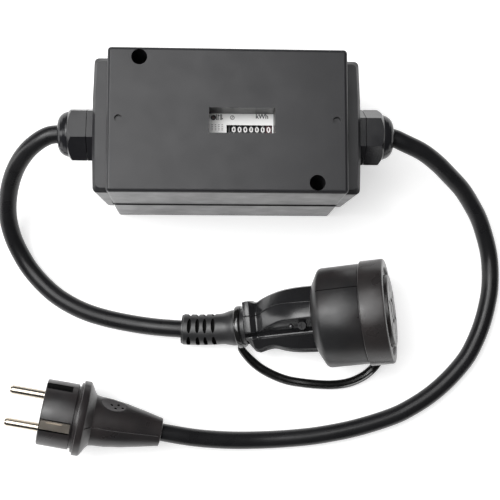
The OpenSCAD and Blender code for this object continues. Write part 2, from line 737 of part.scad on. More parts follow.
module plug_body() {
    color([0.12, 0.12, 0.12]) in_plug() difference() {
        turned([[0, 0], [0, 17.9], [0.5, 18.4], [19.3, 18.4], [19.3, 19.4], [20.6, 19.4],
                [20.6, 21.4], [24.6, 21.4], [25.6, 20.4], [30, 14.3], [36, 13.9], [45, 12.4],
                [55, 10], [plug_l, 7.9], [plug_l, 0]]);
        for (z = [-1, 1]) box([-1, -3.4, z > 0 ? 15.4 : -19], [17.5, 3.4, z > 0 ? 19 : -15.4]);
        for (y = [-1, 1]) box([-1, y > 0 ? 16.6 : -19, -2.4], [14, y > 0 ? 19 : -16.6, 2.4]);
        for (y = [-1, 1]) bar_x(-1, 9, pin_root_r, y * pin_pitch / 2);
    }
}

module plug_pins() {
    tip = 1.4;
    color([0.86, 0.82, 0.72]) in_plug() for (y = [-1, 1]) translate([0, y * pin_pitch / 2, 0])
        turned([[-pin_l, 0], [-pin_l, pin_d / 2 - tip], [-pin_l + 0.45, pin_d / 2 - 0.45],
                [-pin_l + tip, pin_d / 2], [0, pin_d / 2], [0, pin_root_r], [9, pin_root_r],
                [9, 0]]);
}

module plug_earth_clips() {
    color([0.86, 0.82, 0.72]) in_plug() for (a = [0, 180]) rotate([a, 0, 0]) {
        box([0.6, -2.6, 16.4], [17, 2.6, 17.3]);
        box([0.6, -2.6, 15.5], [1.6, 2.6, 16.6]);
        box([4, -1.6, 17.2], [12, 1.6, 18]);
    }
}

// ---------------------------------------------------------------- what is drawn
upper_housing();
lower_housing();
housing_gasket();
cover_screws();
din_rail();
rail_screws();
meter_base();
meter_cover();
meter_face();
meter_led();
meter_terminals();
terminal_screws();
meter_board();
current_shunt();
step_motor();
motor_pinion();
idler_gear();
register_frame();
register_axle();
for (i = [1:7]) drum(i);
din_latch();
live_wires();
neutral_wires();
earth_wire();
cord_ends();
gland_body(-1, 17);  // left_gland_body
gland_body(1, 30);  // right_gland_body
dome_nut(-1, 17);  // left_dome_nut
dome_nut(1, 30);  // right_dome_nut
gland_lock_nuts();
gland_seals();
coupling_cord();
coupling_boot();
coupling_grip();
coupling_body();
coupling_insert();
contact_tubes();
coupling_earth_clips();
grip_screw();
coupling_cap();
cap_strap();
strap_ring();
plug_cord();
plug_body();
plug_pins();
plug_earth_clips();
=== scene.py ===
import json
import math

import bmesh
import bpy
from mathutils import Matrix, Vector


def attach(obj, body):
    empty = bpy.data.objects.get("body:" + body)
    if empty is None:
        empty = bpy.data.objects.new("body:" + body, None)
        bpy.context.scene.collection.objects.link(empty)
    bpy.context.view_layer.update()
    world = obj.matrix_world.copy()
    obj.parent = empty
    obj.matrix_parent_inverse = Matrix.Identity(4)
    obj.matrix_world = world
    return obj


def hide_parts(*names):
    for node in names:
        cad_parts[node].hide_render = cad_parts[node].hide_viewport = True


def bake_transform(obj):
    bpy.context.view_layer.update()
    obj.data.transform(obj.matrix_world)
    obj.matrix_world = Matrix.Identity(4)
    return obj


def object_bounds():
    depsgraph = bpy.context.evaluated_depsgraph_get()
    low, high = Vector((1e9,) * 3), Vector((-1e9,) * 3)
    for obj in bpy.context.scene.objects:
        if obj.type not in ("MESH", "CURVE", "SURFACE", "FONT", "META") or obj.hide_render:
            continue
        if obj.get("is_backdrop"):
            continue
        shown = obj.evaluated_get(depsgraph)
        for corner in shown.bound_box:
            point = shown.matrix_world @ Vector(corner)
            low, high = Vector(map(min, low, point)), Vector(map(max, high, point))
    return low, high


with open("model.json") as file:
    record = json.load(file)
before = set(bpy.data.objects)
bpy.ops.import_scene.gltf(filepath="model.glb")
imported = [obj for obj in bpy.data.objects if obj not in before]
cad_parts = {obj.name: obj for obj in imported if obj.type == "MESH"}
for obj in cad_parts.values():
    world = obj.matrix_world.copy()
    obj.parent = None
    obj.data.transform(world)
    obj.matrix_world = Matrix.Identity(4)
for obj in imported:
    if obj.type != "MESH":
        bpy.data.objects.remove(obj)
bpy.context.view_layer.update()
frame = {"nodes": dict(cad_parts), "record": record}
scene = bpy.context.scene


# ------------------------------------------------------------------ helpers
def mm(x, y=None, z=None):
    """A point given in millimetres, as a vector in metres."""
    return Vector(x) * 0.001 if y is None else Vector((x, y, z)) * 0.001


def mesh_piece(name, verts, faces, sharp=38):
    """A mesh object from points in metres; edges sharper than the angle stay crisp."""
    data = bpy.data.meshes.new(name)
    data.from_pydata([tuple(v) for v in verts], [], faces)
    data.update()
    made = bpy.data.objects.new(name, data)
    scene.collection.objects.link(made)
    crisp(made, sharp)
    return made


def crisp(piece, sharp=38):
    """Shades a piece smooth, with edges past an angle in degrees left sharp."""
    work = bmesh.new()
    work.from_mesh(piece.data)
    bmesh.ops.recalc_face_normals(work, faces=work.faces)
    work.to_mesh(piece.data)
    work.free()
    piece.data.shade_smooth()
    piece.data.set_sharp_from_angle(angle=math.radians(sharp))


def bake(piece, sharp=38):
    """Applies the modifiers to the mesh."""
    graph = bpy.context.evaluated_depsgraph_get()
    graph.update()
    data = bpy.data.meshes.new_from_object(piece.evaluated_get(graph))
    piece.modifiers.clear()
    piece.data = data
    crisp(piece, sharp)
    return piece


def bevel(piece, width, segments=3, angle=30):
    """Rounds the edges that are sharper than the angle; width in millimetres."""
    modifier = piece.modifiers.new("bevel", "BEVEL")
    modifier.width = width * 0.001
    modifier.segments = segments
    modifier.limit_method = "ANGLE"
    modifier.angle_limit = math.radians(angle)
    modifier.use_clamp_overlap = True
    return bake(piece)


def cut(piece, cutters):
    """Takes the cutters out of the piece; a painted cutter leaves its look on the cut faces."""
    for cutter in cutters:
        modifier = piece.modifiers.new("cut", "BOOLEAN")
        modifier.operation = "DIFFERENCE"
        modifier.solver = "EXACT"
        modifier.material_mode = "TRANSFER"
        modifier.object = cutter
    bake(piece)
    for cutter in cutters:
        bpy.data.objects.remove(cutter)
    return piece


def join(name, pieces):
    """One object from several, all in the row frame, with the looks they hold."""
    work = bmesh.new()
    looks = []
    for piece in pieces:
        start, first_face = len(work.verts), len(work.faces)
        work.from_mesh(piece.data)
        work.verts.ensure_lookup_table()
        work.faces.ensure_lookup_table()
        bmesh.ops.transform(work, matrix=piece.matrix_world, verts=work.verts[start:])
        held = list(piece.data.materials)
        looks += [look for look in held if look not in looks]
        for face in work.faces[first_face:]:
            face.material_index = looks.index(held[face.material_index]) if held else 0
    data = bpy.data.meshes.new(name)
    work.to_mesh(data)
    work.free()
    for look in looks:
        data.materials.append(look)
    for piece in pieces:
        bpy.data.objects.remove(piece)
    made = bpy.data.objects.new(name, data)
    scene.collection.objects.link(made)
    crisp(made)
    return made


class Place:
    """A local frame in millimetres: an origin and three axes, with x along the part."""

    def __init__(self, origin, roll=0, tilt=0, yaw=0):
        turn = (Matrix.Rotation(math.radians(yaw), 3, "Z")
                @ Matrix.Rotation(math.radians(tilt), 3, "Y")
                @ Matrix.Rotation(math.radians(roll), 3, "X"))
        self.origin = Vector(origin)
        self.turn = turn

    def at(self, x, y, z):
        return (self.origin + self.turn @ Vector((x, y, z))) * 0.001


HERE = Place((0, 0, 0))
COUPLING = Place((13, -102.8, 14.3), 0, -16, 5.9)
PLUG = Place((-99, -149.2, 23.9), 19, 6, -10.5)


def lathe(name, place, profile, steps=96, closed=False, y=0, z=0):
    """Turns a profile of (x, radius) points about the place's x axis through (y, z)."""
    verts, rings = [], []
    for x, r in profile:
        if r < 1e-6:
            rings.append([len(verts)] * steps)
            verts.append(place.at(x, y, z))
            continue
        rings.append(list(range(len(verts), len(verts) + steps)))
        for k in range(steps):
            a = 2 * math.pi * k / steps
            verts.append(place.at(x, y + r * math.cos(a), z + r * math.sin(a)))
    pairs = list(zip(rings, rings[1:]))
    if closed:
        pairs.append((rings[-1], rings[0]))
    faces = []
    for low, high in pairs:
        for k in range(steps):
            n = (k + 1) % steps
            corners = list(dict.fromkeys((low[k], low[n], high[n], high[k])))
            if len(corners) > 2:
                faces.append(corners)
    return mesh_piece(name, verts, faces)


def loft(name, rings, sharp=38):
    """A skin over rings with the same number of points, in metres, with both ends shut."""
    n = len(rings[0])
    verts = [p for ring in rings for p in ring]
    faces = []
    for i in range(len(rings) - 1):
        for k in range(n):
            a, b = i * n + k, i * n + (k + 1) % n
            faces.append((a, b, b + n, a + n))
    faces.append(tuple(range(n)))
    faces.append(tuple(range((len(rings) - 1) * n, len(rings) * n)))
    return mesh_piece(name, verts, faces, sharp)


def block(name, place, low, high, round_by=0.0, segments=2):
    """A box between two corners in the place's frame, with its edges rounded."""
    corners = [place.at(x, y, z) for x in (low[0], high[0]) for y in (low[1], high[1])
               for z in (low[2], high[2])]
    faces = [(0, 1, 3, 2), (4, 6, 7, 5), (0, 4, 5, 1), (2, 3, 7, 6), (0, 2, 6, 4), (1, 5, 7, 3)]
    made = mesh_piece(name, corners, faces)
    return bevel(made, round_by, segments) if round_by else made


def smooth_line(points, per_span=10, first=None, last=None):
    """Catmull-Rom points through the given ones, in millimetres; first and last are headings."""
    p = [Vector(q) for q in points]
    reach_a = (p[1] - p[0]).length
    reach_b = (p[-1] - p[-2]).length
    before = p[0] - Vector(first).normalized() * reach_a if first else 2 * p[0] - p[1]
    after = p[-1] + Vector(last).normalized() * reach_b if last else 2 * p[-1] - p[-2]
    p = [before] + p + [after]
    out = []
    for i in range(1, len(p) - 2):
        for k in range(per_span):
            t = k / per_span
            out.append(0.5 * (2 * p[i] + (p[i + 1] - p[i - 1]) * t
                              + (2 * p[i - 1] - 5 * p[i] + 4 * p[i + 1] - p[i + 2]) * t * t
                              + (3 * p[i] - p[i - 1] - 3 * p[i + 1] + p[i + 2]) * t ** 3))
    out.append(p[-2])
    return out


def frames_along(points, up=(0, 0, 1)):
    """For each point its heading, a side and an up direction that turn as little as possible."""
    out = []
    u = Vector(up)
    for i, p in enumerate(points):
        a, b = points[max(i - 1, 0)], points[min(i + 1, len(points) - 1)]
        t = (b - a).normalized()
        u = (u - t * u.dot(t)).normalized()
        out.append((p, t, u.cross(t), u))
    return out


def tube(name, points, section, up=(0, 0, 1)):
    """Sweeps a section along points; section(i, share) gives (side, up) offsets in mm."""
    rings = []
    placed = frames_along(points, up)
    for i, (p, _, side, u) in enumerate(placed):
        rings.append([(p + side * a + u * b) * 0.001
                      for a, b in section(i / (len(placed) - 1))])
    return loft(name, rings)


def circle(r, n=28):
    return [(r * math.cos(2 * math.pi * k / n), r * math.sin(2 * math.pi * k / n))
            for k in range(n)]


# ------------------------------------------------------------------ materials
def material(name, base, rough, metallic=0.0, grain=0.0, grain_scale=900.0, mottle=0.12,
             rough_spread=0.08, coat=0.0, specular=0.5, stretch=(1, 1, 1), wave=0.0, tint=None):
    """A procedural material: uneven colour and gloss at a large scale, and a fine grain."""
    made = bpy.data.materials.new(name)
    made.use_nodes = True
    nodes, links = made.node_tree.nodes, made.node_tree.links
    shader = nodes["Principled BSDF"]
    shader.inputs["Metallic"].default_value = metallic
    shader.inputs["Specular IOR Level"].default_value = specular
    shader.inputs["Coat Weight"].default_value = coat
    shader.inputs["Coat Roughness"].default_value = 0.12
    where = nodes.new("ShaderNodeTexCoord")
    mapped = nodes.new("ShaderNodeMapping")
    mapped.inputs["Scale"].default_value = stretch
    links.new(where.outputs["Object"], mapped.inputs["Vector"])

    def noise(scale, detail):
        made_noise = nodes.new("ShaderNodeTexNoise")
        made_noise.inputs["Scale"].default_value = scale
        made_noise.inputs["Detail"].default_value = detail
        links.new(mapped.outputs["Vector"], made_noise.inputs["Vector"])
        return made_noise

    patches = noise(28.0, 4.0)
    ramp = nodes.new("ShaderNodeValToRGB")
    other = tint or [min(1.0, c * (1 + mottle * 2.2)) for c in base]
    ramp.color_ramp.elements[0].position = 0.35
    ramp.color_ramp.elements[0].color = (*[c * (1 - mottle) for c in base], 1)
    ramp.color_ramp.elements[1].position = 0.68
    ramp.color_ramp.elements[1].color = (*other, 1)
    links.new(patches.outputs["Fac"], ramp.inputs["Fac"])
    links.new(ramp.outputs["Color"], shader.inputs["Base Color"])
    gloss = nodes.new("ShaderNodeMapRange")
    gloss.inputs["From Min"].default_value = 0.3
    gloss.inputs["From Max"].default_value = 0.7
    gloss.inputs["To Min"].default_value = max(0.03, rough - rough_spread)
    gloss.inputs["To Max"].default_value = min(1.0, rough + rough_spread)
    links.new(noise(90.0, 5.0).outputs["Fac"], gloss.inputs["Value"])
    links.new(gloss.outputs["Result"], shader.inputs["Roughness"])
    if grain:
        bump = nodes.new("ShaderNodeBump")
        bump.inputs["Strength"].default_value = grain
        bump.inputs["Distance"].default_value = 0.00006
        links.new(noise(grain_scale, 3.0).outputs["Fac"], bump.inputs["Height"])
        last = bump
        if wave:
            swell = nodes.new("ShaderNodeBump")
            swell.inputs["Strength"].default_value = wave
            swell.inputs["Distance"].default_value = 0.0006
            links.new(noise(45.0, 2.0).outputs["Fac"], swell.inputs["Height"])
            links.new(swell.outputs["Normal"], bump.inputs["Normal"])
        links.new(last.outputs["Normal"], shader.inputs["Normal"])
    return made


M = {
    "housing": material("housing_abs", (0.022, 0.022, 0.024), 0.33, specular=0.35, grain=0.35,
                        grain_scale=1600, mottle=0.07, rough_spread=0.05),
    "gland": material("gland_polyamide", (0.014, 0.014, 0.016), 0.19, specular=0.36, grain=0.12,
                      grain_scale=900, wave=0.10, rough_spread=0.05),
    "cord": material("cord_sheath", (0.012, 0.012, 0.013), 0.30, specular=0.34, grain=0.15,
                     grain_scale=1200, wave=0.12, rough_spread=0.06),
    "boot": material("boot_rubber", (0.024, 0.024, 0.025), 0.36, specular=0.6, grain=0.25,
                     grain_scale=1100, wave=0.06),
    "plug": material("plug_plastic", (0.021, 0.020, 0.021), 0.34, grain=0.3, grain_scale=1300,
                     wave=0.06, tint=(0.034, 0.028, 0.028)),
    "coupling": material("coupling_plastic", (0.019, 0.019, 0.020), 0.35, grain=0.7,
                         grain_scale=1300, wave=0.05, tint=(0.031, 0.026, 0.026)),
    "cap": material("cap_rubber", (0.026, 0.024, 0.024), 0.30, grain=0.6, grain_scale=1200,
                    wave=0.06, tint=(0.038, 0.031, 0.031)),
    "strap": material("strap_rubber", (0.008, 0.008, 0.008), 0.15, specular=0.9, grain=0.08,
                      grain_scale=900, wave=0.05, rough_spread=0.04),
    "grip": material("grip_plastic", (0.014, 0.014, 0.015), 0.22, grain=0.14,
                     grain_scale=1300, wave=0.05, rough_spread=0.05),
    # painted shade: a near-black matt look for the cut faces of slots, grooves, pits and holes,
    # standing in for the shade that falls in them
    "recess": material("recess_shade", (0.004, 0.004, 0.004), 0.85, specular=0.12, grain=0.2,
                       mottle=0.2),
    "finger": material("finger_rest", (0.070, 0.066, 0.068), 0.50, grain=0.35,
                       grain_scale=1500, mottle=0.08),
    "nickel": material("nickel_plate", (0.74, 0.67, 0.57), 0.19, metallic=1.0, grain=0.10,
                       grain_scale=2600, mottle=0.03, rough_spread=0.05),
    "clip": material("clip_plate", (0.52, 0.47, 0.41), 0.42, metallic=1.0, grain=0.2,
                     grain_scale=1500, mottle=0.12),
    "black_steel": material("blackened_steel", (0.012, 0.012, 0.013), 0.55, specular=0.3,
                            grain=0.18, grain_scale=1800, mottle=0.10),
    "steel": material("zinc_steel", (0.55, 0.56, 0.58), 0.34, metallic=1.0, grain=0.18,
                      grain_scale=1800, mottle=0.10),
    "brass": material("brass_turned", (0.72, 0.55, 0.27), 0.28, metallic=1.0, grain=0.15,
                      grain_scale=1500, mottle=0.08),
    "copper": material("copper_bare", (0.70, 0.38, 0.24), 0.35, metallic=1.0, grain=0.15,
                       mottle=0.15),
    "meter": material("meter_grey", (0.62, 0.63, 0.62), 0.45, grain=0.3, grain_scale=1500,
                      mottle=0.05),
    "plate": material("printed_plate", (0.95, 0.95, 0.94), 0.40, grain=0.1, grain_scale=1500,
                      mottle=0.02, tint=(0.97, 0.97, 0.96)),
    "drum": material("drum_black", (0.020, 0.020, 0.022), 0.45, grain=0.15, mottle=0.1),
    "drum_red": material("drum_red", (0.10, 0.045, 0.05), 0.45, grain=0.15, mottle=0.1),
    "ink": material("white_ink", (0.88, 0.87, 0.86), 0.5, grain=0.1, mottle=0.03),
    "grey_ink": material("grey_ink", (0.36, 0.35, 0.35), 0.55, grain=0.1, mottle=0.2),
    "dark_ink": material("dark_ink", (0.045, 0.045, 0.05), 0.5, grain=0.1, mottle=0.1),
    "gear": material("acetal", (0.78, 0.76, 0.70), 0.4, grain=0.1, mottle=0.04),
    "lamp": material("unlit_lens", (0.10, 0.045, 0.04), 0.14, grain=0.05, mottle=0.1, coat=0.4),
    "board": material("solder_mask", (0.03, 0.20, 0.09), 0.35, grain=0.2, mottle=0.15),
    "brown": material("brown_pvc", (0.22, 0.10, 0.05), 0.4, grain=0.15, mottle=0.08),
    "blue": material("blue_pvc", (0.04, 0.12, 0.42), 0.4, grain=0.15, mottle=0.08),
    "green": material("green_pvc", (0.20, 0.38, 0.05), 0.4, grain=0.15, mottle=0.08,
                      tint=(0.62, 0.60, 0.06)),
}
SLOT_LOOKS = {
    "housing_black": "housing", "rubber_black": "boot", "plug_black": "plug",
    "gland_black": "gland", "meter_grey": "meter", "face_white": "plate",
    "drum_black": "drum", "drum_red": "drum_red", "gear_white": "gear", "led_red": "lamp",
    "steel": "steel", "brass": "brass", "nickel": "nickel", "copper": "copper",
    "board_green": "board", "wire_brown": "brown", "wire_blue": "blue", "wire_green": "green",
}


def paint(piece, look):
    piece.data.materials.clear()
    piece.data.materials.append(M[look])


def place_piece(piece, look, body, slot, *nodes):
    """Gives a new piece its material and its CAD body, and hides the CAD nodes it stands for; the
    slot is not used.
    """
    if look:
        paint(piece, look)
    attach(piece, body)
    if nodes:
        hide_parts(*nodes)
    return piece


for row in frame["record"]["subparts"]:
    paint(frame["nodes"][row["node"]], SLOT_LOOKS[row["material_slot"]])
paint(frame["nodes"]["plug_earth_clips"], "clip")
paint(frame["nodes"]["grip_screw"], "black_steel")
paint(frame["nodes"]["cover_screws"], "black_steel")

# ------------------------------------------------------------------ camera
CAMERA_AT = mm(-13.63, -120.6, 586.23)
CAMERA_AIM = Vector((0.04899, 0.10657, -1.0))
LENS_MM, SENSOR_MM = 73.18, 36.0
camera = bpy.data.objects.new("camera", bpy.data.cameras.new("camera"))
scene.collection.objects.link(camera)
camera.location = CAMERA_AT
camera.rotation_mode = "QUATERNION"
forward = CAMERA_AIM.normalized()
right = forward.cross(Vector((0, 1, 0))).normalized()
turn = Matrix((right, right.cross(forward), -forward)).transposed()
camera.rotation_quaternion = turn.to_quaternion()
camera.data.sensor_width = SENSOR_MM
camera.data.lens = LENS_MM
camera.data.clip_start = 0.01
camera.data.clip_end = 20.0
scene.camera = camera

# ------------------------------------------------------------------ cords
GLAND_TIP = 89.6
GLAND_Y, GLAND_Z = -1.7, 49.0
CORD_D = 9.8
BOOT_REAR = Vector((1, -0.07, 0.05)).normalized()
COUPLING_DIR = COUPLING.turn @ Vector((1, 0, 0))
PLUG_DIR = PLUG.turn @ Vector((1, 0, 0))
LEFT_ROUTE = [
    (-GLAND_TIP, GLAND_Y, GLAND_Z), (-95, -2.5, 48.6), (-101, -5.5, 47), (-107.5, -10.5, 43.5),
    (-113.5, -17.5, 37.5), (-118, -26, 30), (-120.5, -35, 22.5), (-121, -44, 16),
    (-119, -53.5, 10.5), (-115, -62.5, 6.8), (-110, -70.5, 5.2), (-103, -78.5, 5),
    (-95, -85.5, 5), (-86, -91, 5), (-77, -95, 5), (-67, -98, 5), (-57, -100.2, 5.2),
    (-46.5, -102, 6), (-36, -103.3, 7.5), (-23.9, -104.2, 9)]
RIGHT_ROUTE = [
    (GLAND_TIP, GLAND_Y, GLAND_Z), (97, -4.5, 48), (107, -8.5, 45), (116, -13.5, 40),
    (124.5, -19.5, 34), (133, -26, 27.5), (140, -33.5, 21), (146, -41.5, 15),
    (150.5, -51, 10), (153.5, -60.5, 6.6), (154.5, -70.5, 5.2), (154, -81, 5), (152, -91, 5),
    (149, -101, 5), (145, -110.5, 5), (140, -119.5, 5), (133.5, -127.5, 5), (126, -135, 5),
    (118, -141.5, 5), (109.5, -147, 5), (100, -152, 5), (90.5, -155.5, 5), (80.5, -158.5, 5),
    (70.5, -161, 5), (60, -163, 5), (50, -164.5, 5), (39.5, -165.5, 5), (29, -166.2, 5),
    (19, -166.5, 5.5), (8.5, -166.5, 7), (-2, -166, 9.2), (-12.5, -165, 11.8),
    (-22.5, -163.5, 14.3)]
PLUG_LENGTH = 65.4
plug_end = PLUG.origin + PLUG_DIR * PLUG_LENGTH


def make_cord(name, points, node):
    """A round cord along a line in millimetres, standing for one CAD node."""
    piece = tube(name, points, lambda share: circle(CORD_D / 2))
    return place_piece(piece, "cord", "housing", "rubber_black", node)


left_line = smooth_line(LEFT_ROUTE, 10, (-1, 0, 0), BOOT_REAR)
right_line = smooth_line(RIGHT_ROUTE + [tuple(plug_end)], 10, (1, 0, 0), -PLUG_DIR)
left_cord = make_cord("coupling_lead", left_line, "coupling_cord")
right_cord = make_cord("plug_lead", right_line, "plug_cord")

# ------------------------------------------------------------------ coupling: boot and ring
boot_line = smooth_line([LEFT_ROUTE[-1]] + [
    tuple(Vector(LEFT_ROUTE[-1]) + Vector(step)) for step in
    ((7.5, -0.4, 0.4), (15, -0.3, 1.2), (22.4, 0, 2.4))]
    + [tuple(COUPLING.origin - COUPLING_DIR * 8), tuple(COUPLING.origin)], 12,
    BOOT_REAR, COUPLING_DIR)


BOOT_END_R, BOOT_R, BOOT_FLARE = 8.1, 8.65, 1.4
SLOT_PLACES = (4.3, 9.0, 13.7, 18.3)  # along the boot
SLOT_ROWS, SLOT_TURN = 5, -13  # rows round it, and where the first one is in degrees
SLOT_HALF, SLOT_FROM, SLOT_TO = (1.15, 4.2), 5.9, 10.5  # half sizes, and the radii it spans


def boot_radius(share):
    """The boot's radius in millimetres at a share of its length."""
    if share < 0.02:
        return BOOT_END_R
    if share < 0.60:
        return BOOT_R
    rise = min(1.0, (share - 0.60) / 0.22)
    return BOOT_R + BOOT_FLARE * rise * rise * (3 - 2 * rise)


boot = tube("bend_relief", boot_line, lambda share: circle(boot_radius(share), 64))
boot_frames = frames_along(boot_line)
gone, index, cutters = 0.0, 0, []
for i in range(1, len(boot_line)):
    gone += (boot_line[i] - boot_line[i - 1]).length
    if index < len(SLOT_PLACES) and gone >= SLOT_PLACES[index]:
        index += 1
        p, t, side, up = boot_frames[i]
        for row in range(SLOT_ROWS):
            a = math.radians(SLOT_TURN + 360 / SLOT_ROWS * row)
            out = up * math.cos(a) - side * math.sin(a)
            round_way = t.cross(out)
            low, high = [], []
            for k in range(20):
                b = 2 * math.pi * k / 20
                flat = t * SLOT_HALF[0] * math.cos(b) + round_way * SLOT_HALF[1] * math.sin(b)
                low.append((p + out * SLOT_FROM + flat) * 0.001)
                high.append((p + out * SLOT_TO + flat) * 0.001)
            cutters.append(loft(f"slot_{index}_{row}", [low, high]))
boot_slots = join("boot_slots", cutters)
paint(boot, "boot")
# the slot cutters carry the painted shade, so the slot walls and floors come out near black
paint(boot_slots, "recess")
cut(boot, [boot_slots])
bevel(boot, 0.28, 2, 40)
place_piece(boot, None, "housing", "rubber_black", "coupling_boot")

ring = lathe("strap_loop", COUPLING, [
    (-5.6, 10.25), (-5.6, 11.3), (-5.3, 11.8), (-4.8, 12.0), (-3.1, 12.0), (-2.6, 11.8),
    (-2.3, 11.3), (-2.3, 10.25)], 80, closed=True)
place_piece(ring, "strap", "housing", "rubber_black", "strap_ring")

# ------------------------------------------------------------------ coupling: grip
# Stations along the axis, in millimetres: the far edge, ridge, step and near edge (y), the
# height of the ridge and of the step (z), and how far the far side falls off from the ridge.
# The collar keeps its corners, and the wings are smooth.
COLLAR = [
    (0.2, 14.0, 5.3, -4.4, -9.8, 9.6, 9.9, 0.06),
    (3.9, 14.1, 5.3, -4.4, -14.6, 9.6, 9.9, 0.06),
    (6.2, 12.8, 5.3, -4.3, -15.4, 6.4, 6.8, 0.3),
    (7.2, 12.9, 5.4, -4.2, -15.2, 6.4, 6.8, 0.5),
]
WINGS = [
    (10.5, 14.5, 6.6, -3.4, -14.4, 9.2, 10.0, 0.6),
    (15.0, 16.1, 8.5, -2.0, -14.1, 11.0, 12.6, 0.6),
    (21.4, 17.7, 9.7, -0.2, -16.1, 12.6, 15.0, 0.55),
    (27.6, 18.4, 9.8, 0.2, -17.4, 13.6, 16.2, 0.5),
    (34.0, 18.6, 9.6, 0.3, -18.0, 14.0, 16.6, 0.45),
    (39.5, 18.5, 9.4, 0.4, -18.3, 14.0, 16.6, 0.45),
]
PART_Y, PART_Z = -6.9, 8.0  # the parting edge runs straight, parallel to the axis


def grip_ring(row):
    """One closed section of the grip, from one row of stations."""
    s, far, ridge, step, near, z_ridge, z_step, fall = row
    part_z = min(PART_Z, z_step - 0.4)
    bank = (far - ridge) * 0.25
    top = [(far, -2.4), (far, z_ridge * 0.25), (far - 0.7, z_ridge * (1 - fall)),
           (ridge + bank, z_ridge * (1 - fall * 0.28)), (ridge, z_ridge),
           (ridge * 0.6 + step * 0.4, z_ridge * 0.5 + z_step * 0.5),
           (step + 1.3, z_step), (step + 0.2, z_step - 0.1), (step, z_step - 1.0),
           (PART_Y + 0.9, part_z - 2.6), (PART_Y + 0.6, part_z), (PART_Y - 0.5, part_z),
           (PART_Y - 1.0, part_z - 1.2), (near + 2.2, part_z * 0.55), (near, 1.2), (near, -2.4)]
    under = [(near + 2.0, -5.4), (PART_Y, -part_z * 0.9), (0.0, -z_step * 0.86),
             (ridge, -z_ridge * 0.82), (far - 1.0, -4.8)]
    return [COUPLING.at(s, y, z) for y, z in top + under]


def smooth_rings(rings, per_span):
    """More rings between the given ones, each point along its own smooth line."""
    tracks = [smooth_line(track, per_span) for track in zip(*rings)]
    return [list(ring) for ring in zip(*tracks)]


wings = smooth_rings([grip_ring(row) for row in WINGS], 5)
grip = bevel(loft("grip_shell", [grip_ring(row) for row in COLLAR] + wings, 26), 0.25, 2, 24)
rows = COLLAR + WINGS
ridge_line = smooth_line([COUPLING.at(r[0], r[2], r[5] + 0.15) * 1000 for r in rows], 4)
ridge_rib = tube("ridge_rib", ridge_line, lambda share: circle(0.34, 10))
knob = lathe("grip_knob", Place(COUPLING.at(26.6, -3.0, 8.6) * 1000, 0, -90 - 16, -14), [
    (0, 0), (0, 1.3), (2.2, 1.2), (2.9, 0.6), (3.0, 0)], 24)
throat = lathe("grip_throat", COUPLING, [(0.0, 0), (0.0, 8.4), (1.2, 8.4), (1.2, 0)], 64)
grip_all = join("grip_moulding", [grip, ridge_rib, knob, throat])
place_piece(grip_all, "grip", "housing", "plug_black", "coupling_grip")

# ------------------------------------------------------------------ coupling: body and cap
body = lathe("coupling_shell", COUPLING, [
    (39.5, 15.0), (39.5, 19.0), (40.1, 20.3), (43.6, 26.6), (44.6, 27.3), (45.6, 27.5),
    (66.1, 27.5), (66.5, 27.2), (66.5, 27.0), (77.0, 27.0), (77.4, 26.6), (77.4, 24.6),
    (45.0, 24.6), (45.0, 15.0)], 128, closed=True)


def seam_box(name, place, s0, s1, r, angle, wide=0.35, deep=0.5):
    """A thin box that cuts a line along a turned part at an angle from its top."""
    a = math.radians(angle)
    out = Vector((0, math.sin(a), math.cos(a)))
    across = Vector((0, math.cos(a), -math.sin(a)))
    corners = []
    for s in (s0, s1):
        for w in (-wide / 2, wide / 2):
            for d in (-deep, 1.0):
                q = out * (r + d) + across * w
                corners.append(place.at(s, q.y, q.z))
    faces = [(0, 1, 3, 2), (4, 6, 7, 5), (0, 4, 5, 1), (2, 3, 7, 6), (0, 2, 6, 4), (1, 5, 7, 3)]
    return mesh_piece(name, corners, faces)


body_seams = join("body_seams", [seam_box(f"seam_{a}", COUPLING, 41.5, 67, 27.5, a, 0.5)
                                 for a in (31, 211)])
paint(body, "coupling")
# the parting-line grooves get the painted shade on their cut faces
paint(body_seams, "recess")
cut(body, [body_seams])
place_piece(body, None, "housing", "plug_black", "coupling_body")

cap = lathe("cap_shell", COUPLING, [
    (77.8, 0), (77.8, 27.3), (66.9, 27.3), (66.9, 28.3), (67.3, 28.75), (79.0, 28.75),
    (79.7, 28.45), (80.0, 27.8), (80.0, 24.4), (79.6, 24.0), (78.9, 23.9), (78.9, 20.3),
    (79.2, 19.9), (81.1, 19.6), (81.6, 19.0), (81.6, 7.4), (81.2, 7.0), (80.9, 7.0),
    (80.9, 5.2), (81.4, 5.0), (81.6, 4.6), (81.6, 0)], 128)
VENTS, VENT_R = 6, 13  # short grooves in the cap's face, and their distance from its middle
vents = []
for k in range(VENTS):
    a = math.radians(360 / VENTS * k + 12)
    lines = []
    for x in (81.1, 82.6):
        lines.append([COUPLING.at(x, (VENT_R + u) * math.cos(a) - w * math.sin(a),
                                  (VENT_R + u) * math.sin(a) + w * math.cos(a))
                      for u, w in ((-3, -0.7), (3, -0.7), (3, 0.7), (-3, 0.7))])
    vents.append(loft(f"vent_{k}", lines))
cut(cap, [join("cap_marks", vents)])
LUG_TURN = math.radians(-42)
LUG_AT = 72  # along the coupling


def turned_about_axis(s, y, z, a=LUG_TURN):
    """A point on the coupling, turned about its axis."""
    return COUPLING.at(s, y * math.cos(a) - z * math.sin(a), y * math.sin(a) + z * math.cos(a))


def squarish(value):
    """A sine or cosine pushed towards a rounded square."""
    return math.copysign(abs(value) ** 0.6, value)


lug_rings = []
for z, half_s, half_y in ((-27.6, 3.6, 3.1), (-29.4, 3.3, 2.9), (-31.2, 2.9, 2.7),
                          (-32.0, 2.2, 2.2)):
    lug_rings.append([turned_about_axis(LUG_AT + half_s * squarish(math.cos(b)),
                                        half_y * squarish(math.sin(b)), z)
                      for b in [2 * math.pi * k / 24 for k in range(24)]])
lug = loft("cap_lug", lug_rings)
cap_all = join("cap_moulding", [cap, lug])
place_piece(cap_all, "cap", "coupling_cap", "rubber_black", "coupling_cap")

